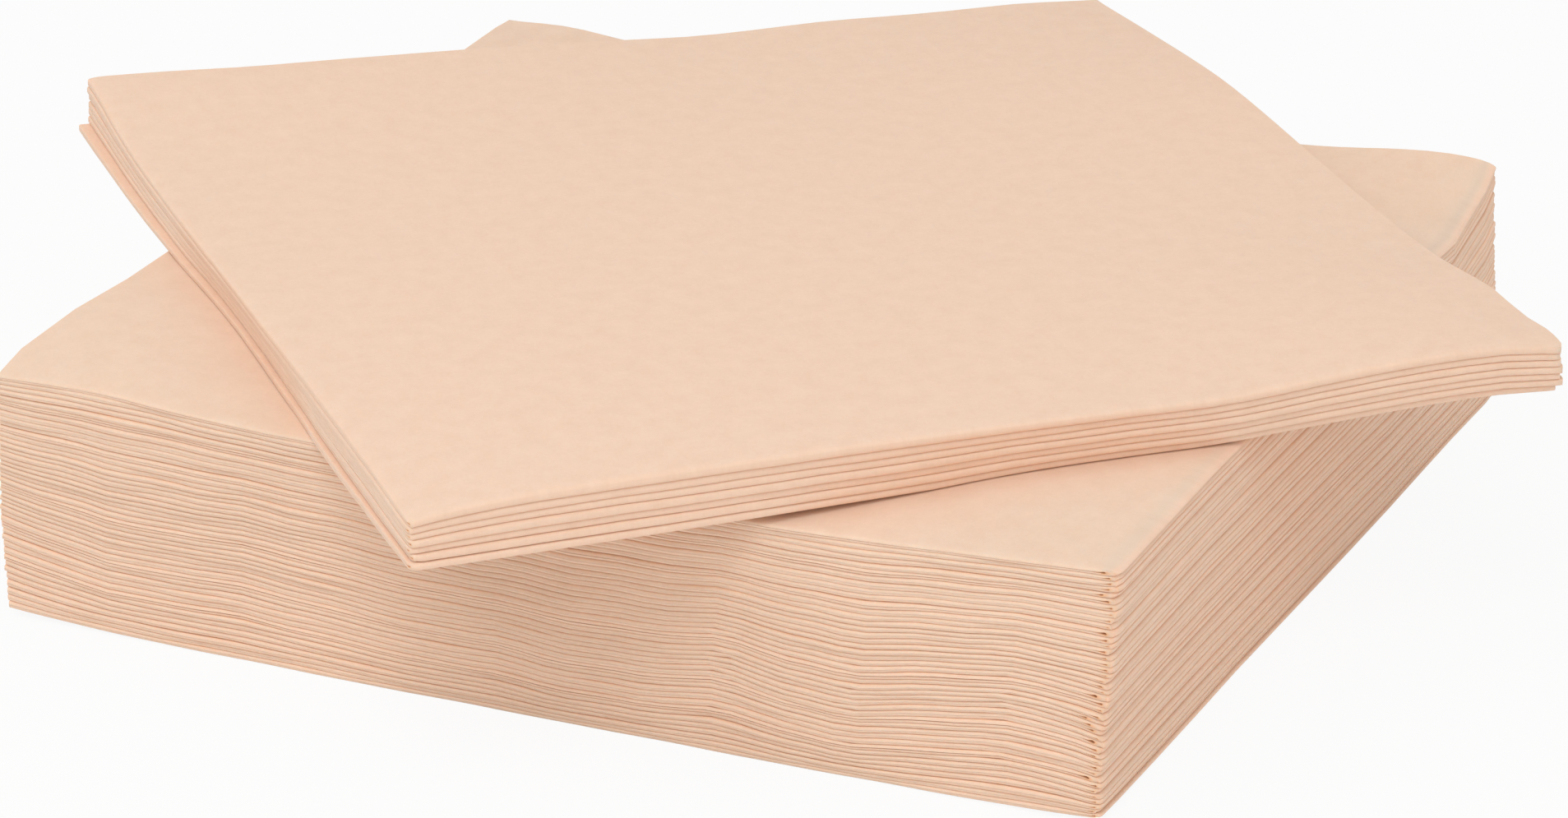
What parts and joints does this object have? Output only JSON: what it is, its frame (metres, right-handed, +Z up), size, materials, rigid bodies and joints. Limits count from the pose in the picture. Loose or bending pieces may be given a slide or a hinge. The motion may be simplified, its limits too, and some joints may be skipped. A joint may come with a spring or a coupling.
{
  "type": "stack of paper napkins",
  "caption": "Square pile of quarter-folded paper napkins with a thinner pile of the same napkins turned across its top.",
  "frame": {"origin": "middle of the squared pile's footprint, on the surface that it stands on", "axes": "+Z up through the stack; the squared pile's first-fold ridges face -Y and its second-fold wraps face +X"},
  "size_m": [0.2844, 0.2836, 0.0537],
  "materials": {
    "tissue": "matt, faintly embossed tissue"
  },
  "bodies": {
    "root": {"napkin_01": "tissue", "napkin_02": "tissue", "napkin_03": "tissue", "napkin_04": "tissue", "napkin_05": "tissue", "napkin_06": "tissue", "napkin_07": "tissue", "napkin_08": "tissue", "napkin_09": "tissue", "napkin_10": "tissue", "napkin_11": "tissue", "napkin_12": "tissue", "napkin_13": "tissue", "napkin_14": "tissue", "napkin_15": "tissue", "napkin_16": "tissue", "napkin_17": "tissue", "napkin_18": "tissue", "napkin_19": "tissue", "napkin_20": "tissue", "napkin_21": "tissue", "napkin_22": "tissue", "napkin_23": "tissue", "napkin_24": "tissue", "napkin_25": "tissue", "napkin_26": "tissue", "napkin_27": "tissue", "napkin_28": "tissue", "napkin_29": "tissue", "napkin_30": "tissue", "napkin_31": "tissue", "napkin_32": "tissue", "napkin_33": "tissue", "napkin_34": "tissue", "napkin_35": "tissue", "napkin_36": "tissue", "napkin_37": "tissue", "napkin_38": "tissue", "napkin_39": "tissue", "napkin_40": "tissue", "napkin_41": "tissue", "napkin_42": "tissue", "napkin_43": "tissue", "napkin_44": "tissue", "napkin_45": "tissue", "napkin_46": "tissue", "napkin_47": "tissue", "napkin_48": "tissue", "napkin_49": "tissue", "napkin_50": "tissue"}
  },
  "joints": []
}
